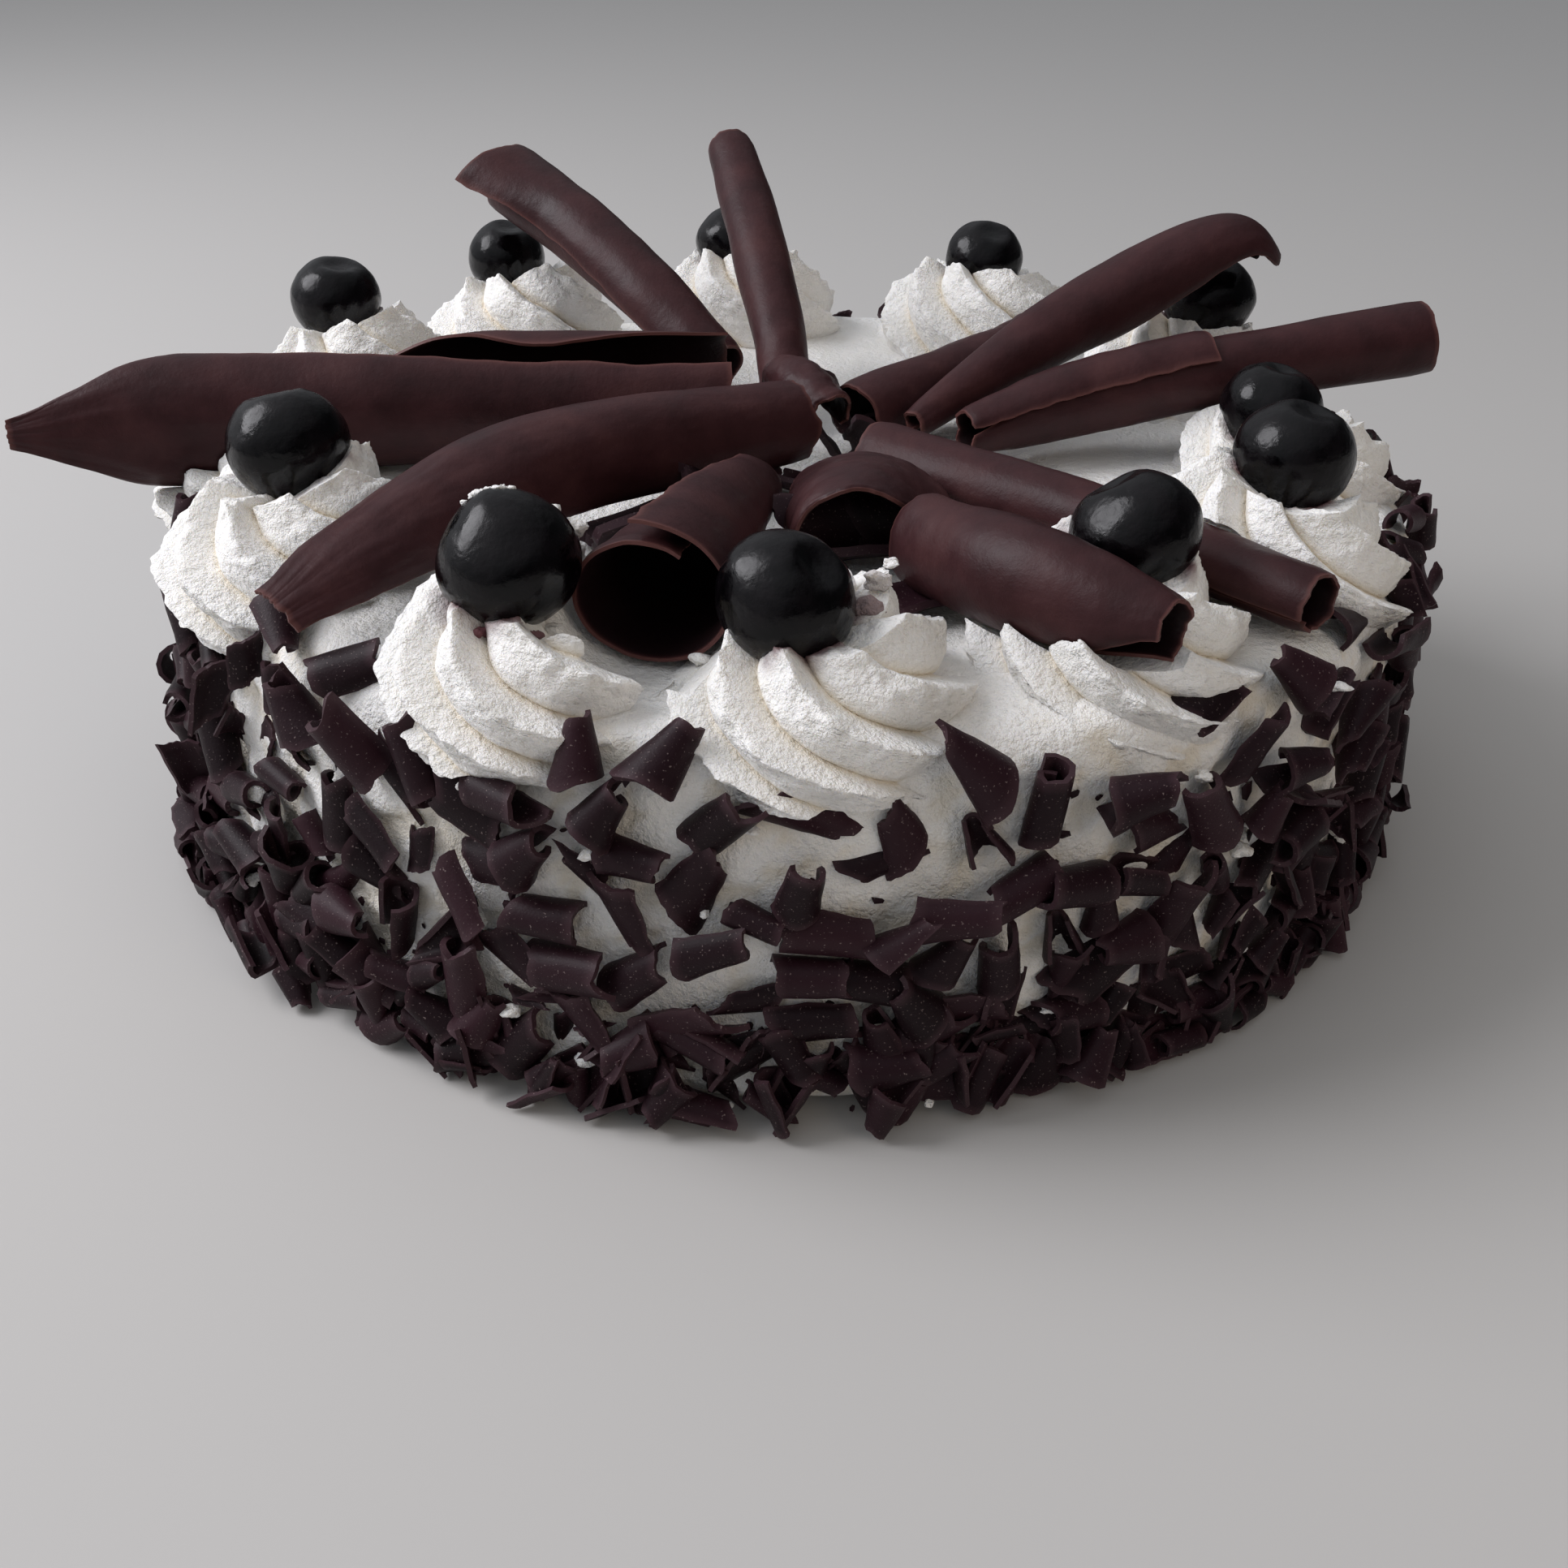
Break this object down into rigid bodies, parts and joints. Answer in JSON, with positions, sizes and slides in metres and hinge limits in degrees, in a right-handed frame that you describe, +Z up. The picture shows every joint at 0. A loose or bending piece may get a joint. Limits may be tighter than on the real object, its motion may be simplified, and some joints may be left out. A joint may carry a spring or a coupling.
{
  "type": "ice cream cake",
  "caption": "Round cream-covered cake with piped rosettes, dark cherries and a fan of large chocolate curls on top, and rolled chocolate flakes on its side.",
  "frame": {"origin": "centre of the flat underside", "axes": "+Z up out of the cake's top, -Y towards the side that faces the viewer of the picture, +X to that viewer's right"},
  "size_m": [0.289, 0.2625, 0.122],
  "materials": {
    "whipped_cream": "soft matt whipped cream",
    "dark_chocolate": "satin dark chocolate",
    "dark_cherry": "wet and glossy"
  },
  "bodies": {
    "root": {"cake_body": "whipped_cream", "cherry_01": "dark_cherry", "cherry_02": "dark_cherry", "cherry_03": "dark_cherry", "cherry_04": "dark_cherry", "cherry_05": "dark_cherry", "cherry_06": "dark_cherry", "cherry_07": "dark_cherry", "cherry_08": "dark_cherry", "cherry_09": "dark_cherry", "cherry_10": "dark_cherry", "cherry_11": "dark_cherry", "curl_back_left_scroll": "dark_chocolate", "curl_back_scroll": "dark_chocolate", "curl_centre_scrap": "dark_chocolate", "curl_front_arch": "dark_chocolate", "curl_front_left_leaf": "dark_chocolate", "curl_front_right_scoop": "dark_chocolate", "curl_front_scroll": "dark_chocolate", "curl_left_leaf": "dark_chocolate", "curl_right_front_scroll": "dark_chocolate", "curl_right_hook": "dark_chocolate", "curl_right_long": "dark_chocolate", "curl_right_short": "dark_chocolate", "rosette_01": "whipped_cream", "rosette_02": "whipped_cream", "rosette_03": "whipped_cream", "rosette_04": "whipped_cream", "rosette_05": "whipped_cream", "rosette_06": "whipped_cream", "rosette_07": "whipped_cream", "rosette_08": "whipped_cream", "rosette_09": "whipped_cream", "rosette_10": "whipped_cream", "rosette_11": "whipped_cream", "rosette_12": "whipped_cream"}
  },
  "joints": []
}
